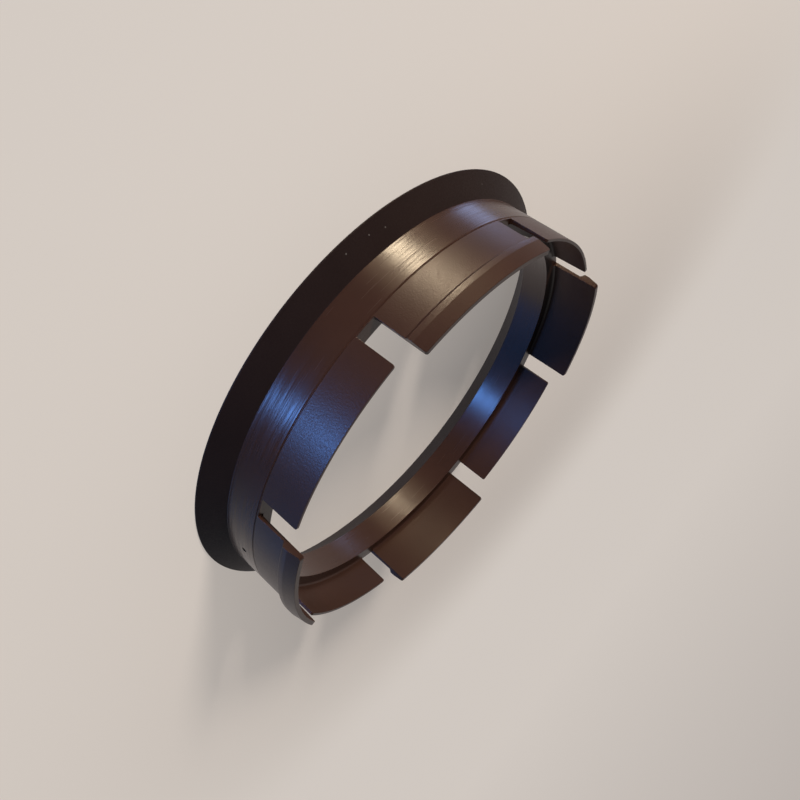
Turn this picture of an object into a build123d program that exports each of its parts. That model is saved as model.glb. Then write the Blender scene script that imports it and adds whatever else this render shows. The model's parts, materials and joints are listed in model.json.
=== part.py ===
"""Hub centric ring: one moulded plastic ring that centres a wheel on a car's hub.

The ring lies on the rim of its conical flange. The axis is +Z, the floor is z = 0, sizes are in mm.
"""
import math
import os

from build123d import *

# Sizes that the wheel and the hub set
WHEEL_BORE_DIAMETER = 72.6
HUB_BORE_DIAMETER = 67.1

# Conical flange, hollowed at the back
FLANGE_RIM_DIAMETER = 79.0
FLANGE_RIM_LAND = 0.2
FLANGE_CONE_TOP = 3.0
FLANGE_BACK_OPENING_DIAMETER = 76.6
BORE_MOUTH_TOP = 3.6

# Thick base that carries the tabs
BASE_HEIGHT = 8.75
WITNESS_GROOVE_HEIGHT = 8.45
WITNESS_GROOVE_WIDTH = 0.28
WITNESS_GROOVE_DEPTH = 0.1

# Eight spring tabs, plain and lipped by turns
TAB_COUNT = 8
TAB_ROOT_WALL = 0.7
TAB_TIP_WALL = 0.45
TAB_ROOT_FILLET = 0.5
TAB_CORNER_RADIUS = 0.35
PLAIN_TAB_TOP = 15.1
LIPPED_TAB_TOP = 17.25
SLOT_WIDTH = 3.3
FIRST_SLOT_ANGLE = 22.5

# Snap lip on every second tab: back slope, ridge, long lead-in
LIP_START_HEIGHT = 13.8
LIP_RISE = 0.7
LIP_RIDGE_START = 14.3
LIP_RIDGE_END = 15.2
LIP_RIDGE_RADIUS = 0.15
LIP_TIP_RISE = 0.3

# Small gate mark sunk in the base
GATE_MARK_DIAMETER = 0.8
GATE_MARK_DEPTH = 0.3
GATE_MARK_HEIGHT = 6.25
GATE_MARK_ANGLE = 87.4

# How far a cutter runs past the ring
CUTTER_OVERRUN = 1.0

# Radii that follow from the sizes above
skirt_radius = WHEEL_BORE_DIAMETER / 2
bore_radius = HUB_BORE_DIAMETER / 2
rim_radius = FLANGE_RIM_DIAMETER / 2
back_opening_radius = FLANGE_BACK_OPENING_DIAMETER / 2
tab_root_radius = skirt_radius - TAB_ROOT_WALL
tab_tip_radius = skirt_radius - TAB_TIP_WALL
ridge_radius = skirt_radius + LIP_RISE
tab_pitch = 360 / TAB_COUNT
cutter_top = LIPPED_TAB_TOP + CUTTER_OVERRUN


def corner_at(outline, place):
    """The outline's corner nearest to a place given as radius and height."""
    return outline.vertices().sort_by_distance(Vector(*place))[0]


def ring_section():
    """Half section of the ring through a lipped tab, in the XZ plane."""
    groove_half = WITNESS_GROOVE_WIDTH / 2
    ridge_start = (ridge_radius, LIP_RIDGE_START)
    ridge_end = (ridge_radius, LIP_RIDGE_END)
    tab_root = (tab_root_radius, BASE_HEIGHT)
    corners = [
        (back_opening_radius, 0),
        (rim_radius, 0),
        (rim_radius, FLANGE_RIM_LAND),
        (skirt_radius, FLANGE_CONE_TOP),
        (skirt_radius, WITNESS_GROOVE_HEIGHT - groove_half),
        (skirt_radius - WITNESS_GROOVE_DEPTH, WITNESS_GROOVE_HEIGHT),
        (skirt_radius, WITNESS_GROOVE_HEIGHT + groove_half),
        (skirt_radius, LIP_START_HEIGHT),
        ridge_start,
        ridge_end,
        (skirt_radius + LIP_TIP_RISE, LIPPED_TAB_TOP),
        (tab_tip_radius, LIPPED_TAB_TOP),
        tab_root,
        (bore_radius, BASE_HEIGHT),
        (bore_radius, BORE_MOUTH_TOP),
    ]
    outline = make_face(Polyline(*corners, close=True))
    outline = fillet(corner_at(outline, ridge_start), LIP_RIDGE_RADIUS)
    outline = fillet(corner_at(outline, ridge_end), LIP_RIDGE_RADIUS)
    outline = fillet(corner_at(outline, tab_root), TAB_ROOT_FILLET)
    return Plane.XZ * outline


def plain_tab_relief():
    """Takes the lip and the extra length off one tab, centred on angle 0."""
    outside = ridge_radius + CUTTER_OVERRUN
    inside = tab_root_radius - CUTTER_OVERRUN
    corners = [
        (skirt_radius, LIP_START_HEIGHT),
        (outside, LIP_START_HEIGHT),
        (outside, cutter_top),
        (inside, cutter_top),
        (inside, PLAIN_TAB_TOP),
        (skirt_radius, PLAIN_TAB_TOP),
    ]
    section = Plane.XZ * make_face(Polyline(*corners, close=True))
    return Rot(0, 0, -tab_pitch / 2) * revolve(section, Axis.Z, tab_pitch)


def slot_side(side, tab_top):
    """One side of a slot from its floor up, opening out in a quarter round at the tab's end corner."""
    half = SLOT_WIDTH / 2
    wide = half + TAB_CORNER_RADIUS
    middle = TAB_CORNER_RADIUS * (1 - math.sqrt(0.5))
    return [
        Line((side * half, BASE_HEIGHT), (side * half, tab_top - TAB_CORNER_RADIUS)),
        ThreePointArc(
            (side * half, tab_top - TAB_CORNER_RADIUS),
            (side * (half + middle), tab_top - middle),
            (side * wide, tab_top),
        ),
        Line((side * wide, tab_top), (side * wide, cutter_top)),
        Line((side * wide, cutter_top), (0, cutter_top)),
        Line((0, BASE_HEIGHT), (side * half, BASE_HEIGHT)),
    ]


def slot_cutter(plain_side):
    """Slot through the tab wall at angle 0, with the plain tab on the given side of it."""
    outline = slot_side(plain_side, PLAIN_TAB_TOP) + slot_side(-plain_side, LIPPED_TAB_TOP)
    return extrude(Plane.YZ * make_face(outline), rim_radius)


def gate_mark():
    """Round sunk mark in the outside of the base."""
    place = Rot(0, 0, GATE_MARK_ANGLE) * Pos(skirt_radius, 0, GATE_MARK_HEIGHT) * Rot(0, 90, 0)
    return place * Cylinder(GATE_MARK_DIAMETER / 2, 2 * GATE_MARK_DEPTH)


def build_ring():
    """The whole ring as one solid. A plain tab follows every slot with an even number."""
    ring = revolve(ring_section(), Axis.Z)
    for number in range(TAB_COUNT):
        turn = Rot(0, 0, FIRST_SLOT_ANGLE + number * tab_pitch)
        if number % 2 == 0:
            ring -= turn * Rot(0, 0, tab_pitch / 2) * plain_tab_relief()
            ring -= turn * slot_cutter(plain_side=1)
        else:
            ring -= turn * slot_cutter(plain_side=-1)
    return ring - gate_mark()


os.makedirs("parts", exist_ok=True)
export_step(build_ring(), "parts/hub_ring.step")
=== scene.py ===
# %% [markdown]
# # Hub centric ring
# A hub centric ring is a thin plastic ring that clips into a wheel's centre bore, so that the wheel sits
# true on the car's hub. This one is a single dark brown moulding: a conical flange, a thick base and a
# crown of eight spring tabs, every second one with a snap lip. The CAD frame gives the place and the
# size. This script gives the ring fine edges, its three finishes, a pale floor, soft lamps and the
# camera.

# %% Frame
import json
import math

import bmesh
import bpy
from mathutils import Matrix, Vector


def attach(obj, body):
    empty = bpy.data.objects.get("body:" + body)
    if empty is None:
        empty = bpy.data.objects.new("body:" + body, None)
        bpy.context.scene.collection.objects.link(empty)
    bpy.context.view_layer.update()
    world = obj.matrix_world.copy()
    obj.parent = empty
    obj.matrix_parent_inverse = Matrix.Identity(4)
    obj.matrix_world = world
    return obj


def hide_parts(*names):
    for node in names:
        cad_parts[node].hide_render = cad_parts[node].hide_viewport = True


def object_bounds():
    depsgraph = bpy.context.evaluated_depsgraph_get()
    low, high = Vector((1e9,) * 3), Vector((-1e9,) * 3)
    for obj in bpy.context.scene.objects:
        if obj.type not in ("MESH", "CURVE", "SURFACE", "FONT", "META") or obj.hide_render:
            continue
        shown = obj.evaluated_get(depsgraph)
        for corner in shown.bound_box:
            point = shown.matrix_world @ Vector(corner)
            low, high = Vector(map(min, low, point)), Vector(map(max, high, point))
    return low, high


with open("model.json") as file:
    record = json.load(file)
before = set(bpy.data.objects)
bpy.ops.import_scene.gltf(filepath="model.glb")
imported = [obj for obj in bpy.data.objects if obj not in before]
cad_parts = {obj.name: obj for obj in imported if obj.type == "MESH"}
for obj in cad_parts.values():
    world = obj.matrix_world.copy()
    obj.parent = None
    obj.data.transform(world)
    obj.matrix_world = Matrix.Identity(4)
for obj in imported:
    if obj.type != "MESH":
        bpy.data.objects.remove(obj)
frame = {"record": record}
cad_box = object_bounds()
mounts = {mount["name"]: mount for mount in frame["record"]["mounts"]}
MM = 0.001
print("CAD box in mm", [[round(value / MM, 2) for value in corner] for corner in cad_box])

# %% [markdown]
# ## The ring's half section
# Everything round about the ring follows from one half section, turned about the axis. It could be read
# off the CAD triangles, but those have hard facets. A section of a few corners, with arcs only where the
# moulding is round, turns into clean rows of quads that take a fine bevel. Radii and heights are in
# millimetres here. The overall sizes come from the frame, so the new mesh lies exactly where the CAD
# solid is.

# %% Sizes of the section
rim_radius = cad_box[1][0] / MM
lipped_top = cad_box[1][2] / MM
skirt_radius = mounts["wheel_seat"]["dims"]["r_mm"]
bore_radius = mounts["hub_bore"]["dims"]["r_mm"]
RIM_LAND = 0.2
CONE_TOP = 3.0
BACK_OPENING_RADIUS = 38.3
BORE_MOUTH_TOP = 3.6
BASE_HEIGHT = 8.75
GROOVE_HEIGHT = 8.45
GROOVE_HALF = 0.14
GROOVE_DEPTH = 0.1
TAB_ROOT_WALL = 0.7
TAB_TIP_WALL = 0.45
ROOT_FILLET = 0.5
PLAIN_TOP = 15.1
LIP_START = 13.8
LIP_RISE = 0.7
RIDGE_START = 14.3
RIDGE_END = 15.2
RIDGE_FILLET = 0.15
LIP_TIP_RISE = 0.3
print("rim radius", round(rim_radius, 2), "top", round(lipped_top, 2), "bore radius", bore_radius)


# %% A corner rounded by an arc
def rounded_corner(before, corner, after, radius, steps):
    """Points of the arc that rounds a corner of the section."""
    corner = Vector(corner)
    to_before = (Vector(before) - corner).normalized()
    to_after = (Vector(after) - corner).normalized()
    half_angle = to_before.angle(to_after) / 2
    start = corner + to_before * radius / math.tan(half_angle)
    middle = corner + (to_before + to_after).normalized() * radius / math.sin(half_angle)
    spoke = start - middle
    sweep = (math.pi - 2 * half_angle) * (1 if spoke.cross(corner - middle) > 0 else -1)
    return [middle + Matrix.Rotation(sweep * step / steps, 2) @ spoke for step in range(steps + 1)]


# %% The section's corners
RIDGE_STEPS = 4
ROOT_STEPS = 6
lip_foot = (skirt_radius, LIP_START)
ridge_low = (skirt_radius + LIP_RISE, RIDGE_START)
ridge_high = (skirt_radius + LIP_RISE, RIDGE_END)
lip_tip = (skirt_radius + LIP_TIP_RISE, lipped_top)
inner_tip = (skirt_radius - TAB_TIP_WALL, lipped_top)
tab_root = (skirt_radius - TAB_ROOT_WALL, BASE_HEIGHT)
step_edge = (bore_radius, BASE_HEIGHT)
section = [
    (BACK_OPENING_RADIUS, 0),
    (rim_radius, 0),
    (rim_radius, RIM_LAND),
    (skirt_radius, CONE_TOP),
    (skirt_radius, GROOVE_HEIGHT - GROOVE_HALF),
    (skirt_radius - GROOVE_DEPTH, GROOVE_HEIGHT),
    (skirt_radius, GROOVE_HEIGHT + GROOVE_HALF),
    (skirt_radius, BASE_HEIGHT),
    lip_foot,
    *rounded_corner(lip_foot, ridge_low, ridge_high, RIDGE_FILLET, steps=RIDGE_STEPS),
    *rounded_corner(ridge_low, ridge_high, lip_tip, RIDGE_FILLET, steps=RIDGE_STEPS),
    lip_tip,
    inner_tip,
    *rounded_corner(inner_tip, tab_root, step_edge, ROOT_FILLET, steps=ROOT_STEPS),
    step_edge,
    (bore_radius, BORE_MOUTH_TOP),
]
print("section corners", len(section))

# %% [markdown]
# ## Turning the section
# bmesh's spin turns a row of edges about an axis and leaves quads behind. The ring is turned in sixteen
# stretches, slot and tab by turns, so that a row of edges falls exactly on each slot's two sides.

# %% Spin the section slot by slot
TAB_COUNT = 8
SLOT_WIDTH = 3.3
FIRST_SLOT = math.radians(22.5)
SLOT_STEPS = 4
TAB_STEPS = 32
MERGE_DISTANCE = 0.002
pitch = 2 * math.pi / TAB_COUNT
slot_angle = 2 * math.asin(SLOT_WIDTH / 2 / skirt_radius)
ring = bmesh.new()
corners = [ring.verts.new((radius * MM, 0, height * MM)) for radius, height in section]
row = [ring.edges.new((a, b)) for a, b in zip(corners, corners[1:] + corners[:1])]
to_first_slot = Matrix.Rotation(FIRST_SLOT - slot_angle / 2, 3, "Z")
bmesh.ops.rotate(ring, verts=corners, cent=(0, 0, 0), matrix=to_first_slot)
last_row = corners + row
for stretch in range(2 * TAB_COUNT):
    in_slot = stretch % 2 == 0
    turned = bmesh.ops.spin(
        ring,
        geom=last_row,
        cent=(0, 0, 0),
        axis=(0, 0, 1),
        angle=slot_angle if in_slot else pitch - slot_angle,
        steps=SLOT_STEPS if in_slot else TAB_STEPS,
    )
    last_row = turned["geom_last"]
bmesh.ops.remove_doubles(ring, verts=ring.verts, dist=MERGE_DISTANCE * MM)
print("turned ring: faces", len(ring.faces))

# %% [markdown]
# ## Slots and plain tabs
# In the mould, eight blades keep the tabs apart. Here the faces between the tabs are deleted, the slot
# floors are bridged, and the open tab sides are filled. Every second tab has no lip and ends lower, so
# its upper rows move in to the skirt's radius and down.

# %% Helpers that find a slot or a tab
FINE = 0.001 * MM


def turn_from_slot(place):
    """Signed angle from the nearest slot's middle, and that slot's number."""
    angle = math.atan2(place.y, place.x) - FIRST_SLOT
    number = round(angle / pitch)
    return angle - number * pitch, number % TAB_COUNT


def is_on_plain_tab(place):
    """A plain tab follows each slot with an even number."""
    return int((math.atan2(place.y, place.x) - FIRST_SLOT) // pitch) % 2 == 0


# %% Cut the slots
def is_slot_waste(face):
    offset = turn_from_slot(face.calc_center_median())[0]
    above_floor = max(vert.co.z for vert in face.verts) > BASE_HEIGHT * MM + FINE
    return above_floor and abs(offset) < slot_angle / 2


waste = [face for face in ring.faces if is_slot_waste(face)]
bmesh.ops.delete(ring, geom=waste, context="FACES")
print("slot faces taken out", len(waste))

# %% Shorten the plain tabs
lip_foot_height = LIP_START * MM
plain_share = (PLAIN_TOP - LIP_START) / (lipped_top - LIP_START)
for vert in ring.verts:
    if vert.co.z > lip_foot_height + FINE and is_on_plain_tab(vert.co):
        radius = vert.co.xy.length
        wanted = min(radius, skirt_radius * MM)
        vert.co.x *= wanted / radius
        vert.co.y *= wanted / radius
        vert.co.z = lip_foot_height + (vert.co.z - lip_foot_height) * plain_share
print("plain tab height over lipped", round(PLAIN_TOP / lipped_top, 3))

# %% Close the slot floors and the tab sides
open_edges = [edge for edge in ring.edges if edge.is_boundary]
for number in range(TAB_COUNT):
    floor_edges = []
    for edge in open_edges:
        middle = (edge.verts[0].co + edge.verts[1].co) / 2
        offset, slot_number = turn_from_slot(middle)
        level = abs(edge.verts[0].co.z - edge.verts[1].co.z) < FINE
        along = abs(edge.verts[0].co.xy.length - edge.verts[1].co.xy.length) < FINE
        if slot_number == number and level and along and abs(middle.z - BASE_HEIGHT * MM) < FINE:
            floor_edges.append(edge)
    bmesh.ops.bridge_loops(ring, edges=floor_edges)
side_edges = [edge for edge in ring.edges if edge.is_boundary]
sides = bmesh.ops.holes_fill(ring, edges=side_edges, sides=0)["faces"]
print("tab sides closed", len(sides), "open edges left", sum(edge.is_boundary for edge in ring.edges))

# %% Round the end corners of the tabs
CORNER_RADIUS = 0.35
CORNER_STEPS = 5
end_edges = []
for face in sides:
    top = max(vert.co.z for vert in face.verts)
    end_edges += [edge for edge in face.edges if all(abs(vert.co.z - top) < FINE for vert in edge.verts)]
bmesh.ops.bevel(
    ring,
    geom=end_edges,
    offset=CORNER_RADIUS * MM,
    offset_type="OFFSET",
    segments=CORNER_STEPS,
    profile=0.5,
    affect="EDGES",
    material=-1,
)
bmesh.ops.recalc_face_normals(ring, faces=ring.faces)
print("tab end corners rounded", len(end_edges))

# %% [markdown]
# ## One mesh, three finishes
# The mould gave the plastic three finishes: a matt flange, a satin skirt with fine turned lines, and
# finely grained tabs. They are three material slots on one mesh, shared out by each face's place.

# %% Share out the finishes
FLANGE, SKIRT, TABS = range(3)
for face in ring.faces:
    face.smooth = True
    middle = face.calc_center_median()
    if middle.z > (GROOVE_HEIGHT + GROOVE_HALF) * MM - FINE:
        face.material_index = TABS
    elif middle.z < CONE_TOP * MM - FINE and middle.xy.length > bore_radius * MM + FINE:
        face.material_index = FLANGE
    else:
        face.material_index = SKIRT
ring_mesh = bpy.data.meshes.new("hub_ring_moulding")
ring.to_mesh(ring_mesh)
ring.free()
moulding = bpy.data.objects.new("hub_ring_moulding", ring_mesh)
bpy.context.collection.objects.link(moulding)
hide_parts("hub_ring")
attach(moulding, "root")
print("corners of the moulding", len(ring_mesh.vertices))

# %% [markdown]
# ## Gate mark
# A small round pit on the base is where the melt was fed in. It could be painted as a dark dot, but a
# real pit takes shade from every side. A plug is sunk into the base with a Boolean modifier, which is
# applied by keeping the evaluated mesh.

# %% A plug for the gate mark
GATE_DIAMETER = 0.8
GATE_DEPTH = 0.3
GATE_HEIGHT = 6.25
GATE_ANGLE = math.radians(87.4)
GATE_SIDES = 24
plug = bmesh.new()
bmesh.ops.create_cone(
    plug,
    cap_ends=True,
    segments=GATE_SIDES,
    radius1=GATE_DIAMETER / 2 * MM,
    radius2=GATE_DIAMETER / 2 * MM,
    depth=2 * GATE_DEPTH * MM,
)
lying = Matrix.Rotation(math.pi / 2, 4, "Y")
to_base = Matrix.Translation((skirt_radius * MM, 0, GATE_HEIGHT * MM)) @ lying
bmesh.ops.transform(plug, matrix=Matrix.Rotation(GATE_ANGLE, 4, "Z") @ to_base, verts=plug.verts)
plug_mesh = bpy.data.meshes.new("gate_plug")
plug.to_mesh(plug_mesh)
plug.free()
gate_plug = bpy.data.objects.new("gate_plug", plug_mesh)
bpy.context.collection.objects.link(gate_plug)
print("plug corners", len(plug_mesh.vertices))

# %% Sink the gate mark
gate_cut = moulding.modifiers.new("gate cut", "BOOLEAN")
gate_cut.operation = "DIFFERENCE"
gate_cut.object = gate_plug
cut_ring = moulding.evaluated_get(bpy.context.evaluated_depsgraph_get())
ring_mesh = bpy.data.meshes.new_from_object(cut_ring)
moulding.modifiers.clear()
moulding.data = ring_mesh
bpy.data.objects.remove(gate_plug)
print("faces with the gate mark", len(ring_mesh.polygons))

# %% [markdown]
# ## Edge break
# No moulding has knife edges. A Bevel modifier takes a few hundredths of a millimetre off every edge that
# turns sharply, and its hardened normals keep the large faces flat, so that only the edges catch a thin
# line of light.

# %% Break the edges
EDGE_BREAK = 0.05
EDGE_STEPS = 2
SHARP_ANGLE = math.radians(32)
edge_break = moulding.modifiers.new("edge break", "BEVEL")
edge_break.width = EDGE_BREAK * MM
edge_break.segments = EDGE_STEPS
edge_break.limit_method = "ANGLE"
edge_break.angle_limit = SHARP_ANGLE
edge_break.use_clamp_overlap = False
edge_break.harden_normals = True
print("edge break in mm", EDGE_BREAK)

# %% [markdown]
# ## The plastic's skin
# All three finishes are the same dark brown plastic, so the skin is built once, as a shader node group. A
# slow drift of tone comes from how the melt filled the mould. A fine pattern is what the mould's own
# surface left on it: lines round the skirt where the mould was turned, and an even grain elsewhere. Both
# are noise on Object coordinates, so their periods are real lengths. Noise that is stretched sideways and
# squeezed in height makes lines out of grain.

# %% Skin node group
skin = bpy.data.node_groups.new("plastic_skin", "ShaderNodeTree")
SKIN_INPUTS = [
    ("Dark", "Color"),
    ("Light", "Color"),
    ("Pattern scale", "Vector"),
    ("Smooth", "Float"),
    ("Rough", "Float"),
]
SKIN_OUTPUTS = [("Colour", "Color"), ("Roughness", "Float"), ("Height", "Float")]
for name, kind in SKIN_INPUTS:
    skin.interface.new_socket(name, in_out="INPUT", socket_type="NodeSocket" + kind)
for name, kind in SKIN_OUTPUTS:
    skin.interface.new_socket(name, in_out="OUTPUT", socket_type="NodeSocket" + kind)
given = skin.nodes.new("NodeGroupInput")
made = skin.nodes.new("NodeGroupOutput")
place = skin.nodes.new("ShaderNodeTexCoord")
print("skin sockets", [item.name for item in skin.interface.items_tree])

# %% Tone drift in the skin
TONE_PERIOD = 9
drift = skin.nodes.new("ShaderNodeTexNoise")
drift.inputs["Scale"].default_value = 1 / (TONE_PERIOD * MM)
tone = skin.nodes.new("ShaderNodeMix")
tone.data_type = "RGBA"
skin.links.new(place.outputs["Object"], drift.inputs["Vector"])
skin.links.new(drift.outputs["Fac"], tone.inputs["Factor"])
skin.links.new(given.outputs["Dark"], tone.inputs["A"])
skin.links.new(given.outputs["Light"], tone.inputs["B"])
skin.links.new(tone.outputs["Result"], made.inputs["Colour"])
print("tone period in mm", TONE_PERIOD)

# %% Fine pattern in the skin
NOISE_LOW = 0.25
NOISE_HIGH = 0.75
stretch = skin.nodes.new("ShaderNodeVectorMath")
stretch.operation = "MULTIPLY"
pattern = skin.nodes.new("ShaderNodeTexNoise")
pattern.inputs["Scale"].default_value = 1
pattern.inputs["Detail"].default_value = 1
gloss = skin.nodes.new("ShaderNodeMapRange")
gloss.inputs["From Min"].default_value = NOISE_LOW
gloss.inputs["From Max"].default_value = NOISE_HIGH
skin.links.new(place.outputs["Object"], stretch.inputs[0])
skin.links.new(given.outputs["Pattern scale"], stretch.inputs[1])
skin.links.new(stretch.outputs["Vector"], pattern.inputs["Vector"])
skin.links.new(pattern.outputs["Fac"], gloss.inputs["Value"])
skin.links.new(given.outputs["Smooth"], gloss.inputs["To Min"])
skin.links.new(given.outputs["Rough"], gloss.inputs["To Max"])
skin.links.new(gloss.outputs["Result"], made.inputs["Roughness"])
skin.links.new(pattern.outputs["Fac"], made.inputs["Height"])
print("skin nodes", len(skin.nodes))

# %% [markdown]
# ## The three finishes
# Each finish places the skin with its own browns, gloss and pattern, and a Bump node gives the pattern a
# real depth. The flange is matt, because its mould face was left coarse, and its browns are darker, which
# is painted shade. The skirt is satin with turned lines. The tabs are satin with a fine even grain.

# %% A plastic finish
def plastic(name, browns, gloss_range, period, depth):
    """Brown plastic with the skin group. Pattern period and depth are in millimetres."""
    material = bpy.data.materials.new(name)
    material.use_nodes = True
    nodes = material.node_tree.nodes
    links = material.node_tree.links
    shader = nodes["Principled BSDF"]
    surface = nodes.new("ShaderNodeGroup")
    surface.node_tree = skin
    surface.inputs["Dark"].default_value = (*browns[0], 1)
    surface.inputs["Light"].default_value = (*browns[1], 1)
    surface.inputs["Smooth"].default_value = gloss_range[0]
    surface.inputs["Rough"].default_value = gloss_range[1]
    surface.inputs["Pattern scale"].default_value = [1 / (length * MM) for length in period]
    relief = nodes.new("ShaderNodeBump")
    relief.inputs["Strength"].default_value = 1
    relief.inputs["Distance"].default_value = depth * MM
    links.new(surface.outputs["Colour"], shader.inputs["Base Color"])
    links.new(surface.outputs["Roughness"], shader.inputs["Roughness"])
    links.new(surface.outputs["Height"], relief.inputs["Height"])
    links.new(relief.outputs["Normal"], shader.inputs["Normal"])
    return material


# %% Flange, skirt and tabs
# The flange's browns are darker than the satin ones: painted shade.
FLANGE_SHADED_BROWNS = [(0.012, 0.007, 0.006), (0.019, 0.0115, 0.010)]
SATIN_BROWNS = [(0.025, 0.011, 0.0068), (0.038, 0.017, 0.011)]
GRAIN_PERIOD = (0.24, 0.24, 0.24)
LINES_PERIOD = (8, 8, 0.25)
MATT_SPECULAR = 0.3
flange_matt = plastic("flange_matt", FLANGE_SHADED_BROWNS, (0.55, 0.7), GRAIN_PERIOD, depth=0.01)
skirt_turned = plastic("skirt_turned", SATIN_BROWNS, (0.18, 0.28), LINES_PERIOD, depth=0.02)
tabs_grained = plastic("tabs_grained", SATIN_BROWNS, (0.29, 0.39), GRAIN_PERIOD, depth=0.015)
flange_shader = flange_matt.node_tree.nodes["Principled BSDF"]
flange_shader.inputs["Specular IOR Level"].default_value = MATT_SPECULAR
for finish in (flange_matt, skirt_turned, tabs_grained):
    ring_mesh.materials.append(finish)
print("finishes", [material.name for material in ring_mesh.materials])

# %% [markdown]
# ## Dust on the flange
# A few pale specks of dust lie on the matt flange. Each is a small round spot at a named place, given as
# an angle and a height. The spots join into one mask, and the mask mixes a dust grey over the brown.

# %% Dust specks
DUST_PLACES = [
    (4.2, 1.56),
    (8.1, 1.22),
    (14.1, 1.12),
    (332.1, 1.57),
    (118.0, 1.9),
    (205.0, 1.1),
    (261.0, 1.7),
]
DUST_RADIUS = 0.13
DUST_CORE = 0.4
nodes = flange_matt.node_tree.nodes
links = flange_matt.node_tree.links
cone_run = (rim_radius - skirt_radius) / (CONE_TOP - RIM_LAND)
place = nodes.new("ShaderNodeTexCoord")
spots = []
for angle, height in DUST_PLACES:
    radius = rim_radius - (height - RIM_LAND) * cone_run
    centre = Matrix.Rotation(math.radians(angle), 3, "Z") @ Vector((radius, 0, height)) * MM
    distance = nodes.new("ShaderNodeVectorMath")
    distance.operation = "DISTANCE"
    distance.inputs[1].default_value = centre
    spot = nodes.new("ShaderNodeMapRange")
    spot.inputs["From Min"].default_value = DUST_RADIUS * MM
    spot.inputs["From Max"].default_value = DUST_RADIUS * DUST_CORE * MM
    links.new(place.outputs["Object"], distance.inputs[0])
    links.new(distance.outputs["Value"], spot.inputs["Value"])
    spots.append(spot.outputs["Result"])
print("dust specks", len(spots))

# %% Dust over the brown
DUST_GREY = (0.12, 0.11, 0.1)
mask = spots[0]
for spot in spots[1:]:
    joined = nodes.new("ShaderNodeMath")
    joined.operation = "MAXIMUM"
    links.new(mask, joined.inputs[0])
    links.new(spot, joined.inputs[1])
    mask = joined.outputs["Value"]
dusty = nodes.new("ShaderNodeMix")
dusty.data_type = "RGBA"
dusty.inputs["B"].default_value = (*DUST_GREY, 1)
links.new(flange_shader.inputs["Base Color"].links[0].from_socket, dusty.inputs["A"])
links.new(mask, dusty.inputs["Factor"])
links.new(dusty.outputs["Result"], flange_shader.inputs["Base Color"])
print("flange nodes", len(nodes))

# %% [markdown]
# ## Camera
# The photograph shows the ring on its edge. Here it lies on its flange, as it comes to rest, so the
# camera rolls with it: the ring's axis leans to the lower right of the picture, as in the photograph.
# Place, direction, roll and focal length come from fitting the ring's circles to the photograph's edges.

# %% Camera
CAMERA_PLACE = Vector((0.09749, 0.05519, 0.04904))
VIEW_AZIMUTH = math.radians(-150.52)
VIEW_ELEVATION = math.radians(-22.11)
CAMERA_ROLL = math.radians(127.35)
FOCAL_PIXELS = 710.35
IMAGE_WIDTH = 800
SENSOR_WIDTH = 36
NEAREST_SEEN = 0.005
view_direction = Vector((
    math.cos(VIEW_ELEVATION) * math.cos(VIEW_AZIMUTH),
    math.cos(VIEW_ELEVATION) * math.sin(VIEW_AZIMUTH),
    math.sin(VIEW_ELEVATION),
))
camera_data = bpy.data.cameras.new("camera")
camera_data.sensor_width = SENSOR_WIDTH
camera_data.lens = FOCAL_PIXELS / IMAGE_WIDTH * SENSOR_WIDTH
camera_data.clip_start = NEAREST_SEEN
camera = bpy.data.objects.new("camera", camera_data)
bpy.context.collection.objects.link(camera)
level_view = view_direction.to_track_quat("-Z", "Y").to_matrix().to_4x4()
rolled_view = level_view @ Matrix.Rotation(CAMERA_ROLL, 4, "Z")
camera.matrix_world = Matrix.Translation(CAMERA_PLACE) @ rolled_view
bpy.context.scene.camera = camera
print("lens in mm", round(camera_data.lens, 2))

# %% [markdown]
# ## Floor
# The floor is a pale sheet with a painted pool of light: it is paler round the ring and darker farther
# off.
# What the camera sees of it is part lit paper, which takes the ring's shadow, and part plain glow, which
# keeps the shadow soft. Farther off it is all glow and has the backdrop's colour, so no horizon shows.
# With the ring lying down, the light that makes its highlights comes from below the floor's level. The
# floor lets that light through: it throws no shadow and isn't mirrored.

# %% Floor sheet
FLOOR_HALF = 6
floor_mesh = bpy.data.meshes.new("floor")
floor_build = bmesh.new()
bmesh.ops.create_grid(floor_build, x_segments=1, y_segments=1, size=FLOOR_HALF)
floor_build.to_mesh(floor_mesh)
floor_build.free()
floor = bpy.data.objects.new("floor", floor_mesh)
bpy.context.collection.objects.link(floor)
floor.visible_shadow = False
floor.visible_glossy = False
print("floor half width in m", FLOOR_HALF)

# %% Floor colour, a painted pool of light round the ring
# The near colour is the painted pool of light; the far colour is the backdrop's.
PAINTED_POOL_NEAR = (0.97, 0.885, 0.805)
PALE_FAR = (0.63, 0.575, 0.53)
POOL_CENTRE = (-0.06, -0.06, 0)
POOL_NEAR = 0.05
POOL_FAR = 0.22
floor_pale = bpy.data.materials.new("floor_pale")
floor_pale.use_nodes = True
nodes = floor_pale.node_tree.nodes
links = floor_pale.node_tree.links
nodes.remove(nodes["Principled BSDF"])
place = nodes.new("ShaderNodeTexCoord")
away = nodes.new("ShaderNodeVectorMath")
away.operation = "DISTANCE"
away.inputs[1].default_value = POOL_CENTRE
fade = nodes.new("ShaderNodeMapRange")
fade.interpolation_type = "SMOOTHSTEP"
fade.inputs["From Min"].default_value = POOL_NEAR
fade.inputs["From Max"].default_value = POOL_FAR
painted_pool = nodes.new("ShaderNodeMix")
painted_pool.data_type = "RGBA"
painted_pool.inputs["A"].default_value = (*PAINTED_POOL_NEAR, 1)
painted_pool.inputs["B"].default_value = (*PALE_FAR, 1)
links.new(place.outputs["Object"], away.inputs[0])
links.new(away.outputs["Value"], fade.inputs["Value"])
links.new(fade.outputs["Result"], painted_pool.inputs["Factor"])
print("pool of light from", POOL_NEAR, "to", POOL_FAR, "m")

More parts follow.
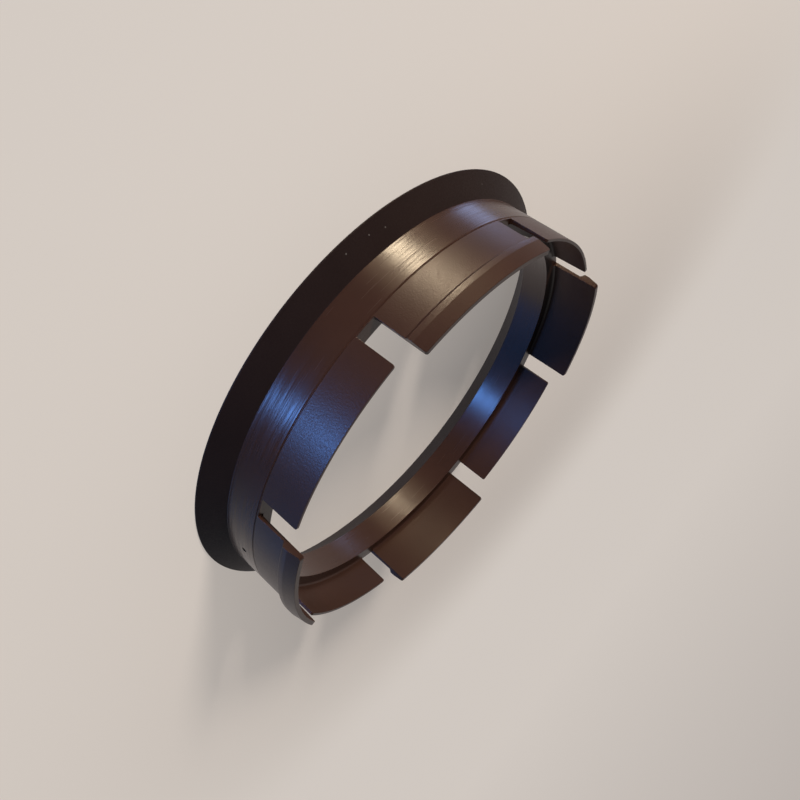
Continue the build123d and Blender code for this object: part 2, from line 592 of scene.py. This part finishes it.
# %% Floor as paper and glow
GLOW_SHARE = 0.25
paper = nodes.new("ShaderNodeBsdfDiffuse")
glow = nodes.new("ShaderNodeEmission")
glow_share = nodes.new("ShaderNodeMapRange")
glow_share.inputs["To Min"].default_value = GLOW_SHARE
glow_share.inputs["To Max"].default_value = 1
light_path = nodes.new("ShaderNodeLightPath")
glow_seen = nodes.new("ShaderNodeMath")
glow_seen.operation = "MULTIPLY"
sheet = nodes.new("ShaderNodeMixShader")
links.new(painted_pool.outputs["Result"], paper.inputs["Color"])
links.new(painted_pool.outputs["Result"], glow.inputs["Color"])
links.new(fade.outputs["Result"], glow_share.inputs["Value"])
links.new(glow_share.outputs["Result"], glow_seen.inputs[0])
links.new(light_path.outputs["Is Camera Ray"], glow_seen.inputs[1])
links.new(glow_seen.outputs["Value"], sheet.inputs["Fac"])
links.new(paper.outputs["BSDF"], sheet.inputs[1])
links.new(glow.outputs["Emission"], sheet.inputs[2])
links.new(sheet.outputs["Shader"], nodes["Material Output"].inputs["Surface"])
floor_mesh.materials.append(floor_pale)
print("floor nodes", len(nodes))

# %% [markdown]
# ## Lamps
# The gloss on the ring shows where the light stands: a warm lamp with a dim warm wall round it, a blue
# window with a dim blind above it, and a faint far window. Each is a round softbox, and the lamp and the
# windows stand in the mirror directions of their highlights. Three more stand behind the ring, for
# whoever looks at it from there, and the key lamp throws the shadow. Those four light only the matt
# colour, so they stay out of the gloss.

# %% A softbox
LAMP_DISTANCE = 0.6


def softbox(name, direction, size, power, colour):
    """A round lamp that looks at the ring from a direction given as a vector."""
    lamp_data = bpy.data.lights.new(name, "AREA")
    lamp_data.shape = "DISK"
    lamp_data.size = size
    lamp_data.energy = power
    lamp_data.color = colour
    lamp = bpy.data.objects.new(name, lamp_data)
    bpy.context.collection.objects.link(lamp)
    place = Vector(direction).normalized() * LAMP_DISTANCE
    lamp.matrix_world = Matrix.Translation(place) @ place.to_track_quat("Z", "Y").to_matrix().to_4x4()
    return lamp


# %% Lamps for the highlights
WARM = (1.0, 0.81, 0.56)
GOLD = (1.0, 0.73, 0.44)
BLUE = (0.13, 0.36, 1.0)
PALE_BLUE = (0.4, 0.55, 1.0)
softbox("warm_lamp", (0.8, -0.42, -0.43), size=0.11, power=0.9, colour=WARM)
softbox("warm_wall", (0.84, -0.43, -0.33), size=0.4, power=0.45, colour=GOLD)
softbox("blue_window", (0.41, 0.84, -0.36), size=0.11, power=0.85, colour=BLUE)
softbox("blue_blind", (0.46, 0.85, -0.2), size=0.2, power=0.4, colour=BLUE)
softbox("far_window", (0.2, -0.88, -0.43), size=0.14, power=0.12, colour=PALE_BLUE)

# %% Lamps for the matt colour and the shadow
SOFT_WHITE = (1.0, 0.94, 0.88)
KEY_WHITE = (1.0, 0.93, 0.86)
matt_lamps = [
    softbox("back_left", (-0.35, -0.88, -0.2), size=0.3, power=2.5, colour=SOFT_WHITE),
    softbox("back_middle", (-0.85, -0.4, -0.3), size=0.3, power=3.5, colour=SOFT_WHITE),
    softbox("back_right", (-0.88, 0.4, -0.3), size=0.3, power=2.0, colour=SOFT_WHITE),
    softbox("key_lamp", (0.92, -0.2, 0.28), size=0.1, power=4.5, colour=KEY_WHITE),
]
for lamp in matt_lamps:
    lamp.visible_glossy = False
print("matt lamps", [lamp.name for lamp in matt_lamps])

# %% [markdown]
# ## World
# The world stands in for the room. It is dark on the camera's side and pale on the far side, and a low
# strip of blue to the left is the window's light on the wall. The camera itself sees a plain backdrop
# instead, in the colour that the far floor has, and darker higher up.

# %% Dark and pale sides of the room
ROOM_DARK = (0.035, 0.045, 0.065)
ROOM_PALE = (0.45, 0.41, 0.39)
PALE_FROM = -0.2
PALE_TO = 0.7
world = bpy.data.worlds.new("room")
bpy.context.scene.world = world
world.use_nodes = True
nodes = world.node_tree.nodes
links = world.node_tree.links
direction = nodes.new("ShaderNodeTexCoord")
ahead = nodes.new("ShaderNodeVectorMath")
ahead.operation = "DOT_PRODUCT"
ahead.inputs[1].default_value = view_direction
pale_share = nodes.new("ShaderNodeMapRange")
pale_share.interpolation_type = "SMOOTHSTEP"
pale_share.inputs["From Min"].default_value = PALE_FROM
pale_share.inputs["From Max"].default_value = PALE_TO
room = nodes.new("ShaderNodeMix")
room.data_type = "RGBA"
room.inputs["A"].default_value = (*ROOM_DARK, 1)
room.inputs["B"].default_value = (*ROOM_PALE, 1)
links.new(direction.outputs["Generated"], ahead.inputs[0])
links.new(ahead.outputs["Value"], pale_share.inputs["Value"])
links.new(pale_share.outputs["Result"], room.inputs["Factor"])
print("room colours", ROOM_DARK, ROOM_PALE)

# %% Blue strip on the left wall
SKY_BLUE = (0.11, 0.29, 0.8)
SKY_HEIGHT = -0.3
SKY_HALF_OUTER = 0.14
SKY_HALF_INNER = 0.06
SKY_LEFT_FROM = 0.5
SKY_LEFT_TO = 0.75
parts = nodes.new("ShaderNodeSeparateXYZ")
leftward = nodes.new("ShaderNodeMapRange")
leftward.interpolation_type = "SMOOTHSTEP"
leftward.inputs["From Min"].default_value = SKY_LEFT_FROM
leftward.inputs["From Max"].default_value = SKY_LEFT_TO
above_strip = nodes.new("ShaderNodeMath")
above_strip.operation = "SUBTRACT"
above_strip.inputs[1].default_value = SKY_HEIGHT
off_strip = nodes.new("ShaderNodeMath")
off_strip.operation = "ABSOLUTE"
strip = nodes.new("ShaderNodeMapRange")
strip.interpolation_type = "SMOOTHSTEP"
strip.inputs["From Min"].default_value = SKY_HALF_OUTER
strip.inputs["From Max"].default_value = SKY_HALF_INNER
window = nodes.new("ShaderNodeMath")
window.operation = "MULTIPLY"
lit_room = nodes.new("ShaderNodeMix")
lit_room.data_type = "RGBA"
lit_room.inputs["B"].default_value = (*SKY_BLUE, 1)
links.new(direction.outputs["Generated"], parts.inputs["Vector"])
links.new(parts.outputs["Y"], leftward.inputs["Value"])
links.new(parts.outputs["Z"], above_strip.inputs[0])
links.new(above_strip.outputs["Value"], off_strip.inputs[0])
links.new(off_strip.outputs["Value"], strip.inputs["Value"])
links.new(leftward.outputs["Result"], window.inputs[0])
links.new(strip.outputs["Result"], window.inputs[1])
links.new(window.outputs["Value"], lit_room.inputs["Factor"])
links.new(room.outputs["Result"], lit_room.inputs["A"])
print("blue strip at height", SKY_HEIGHT)

# %% Backdrop for the camera
BACKDROP_TOP = (0.44, 0.4, 0.375)
BACKDROP_RISE = 0.4
height = nodes.new("ShaderNodeMapRange")
height.inputs["From Min"].default_value = 0
height.inputs["From Max"].default_value = BACKDROP_RISE
wall = nodes.new("ShaderNodeMix")
wall.data_type = "RGBA"
wall.inputs["A"].default_value = (*PALE_FAR, 1)
wall.inputs["B"].default_value = (*BACKDROP_TOP, 1)
light_path = nodes.new("ShaderNodeLightPath")
backdrop = nodes.new("ShaderNodeMix")
backdrop.data_type = "RGBA"
links.new(parts.outputs["Z"], height.inputs["Value"])
links.new(height.outputs["Result"], wall.inputs["Factor"])
links.new(light_path.outputs["Is Camera Ray"], backdrop.inputs["Factor"])
links.new(lit_room.outputs["Result"], backdrop.inputs["A"])
links.new(wall.outputs["Result"], backdrop.inputs["B"])
links.new(backdrop.outputs["Result"], nodes["Background"].inputs["Color"])
bpy.context.scene.view_settings.view_transform = "Standard"
print("world nodes", len(nodes))
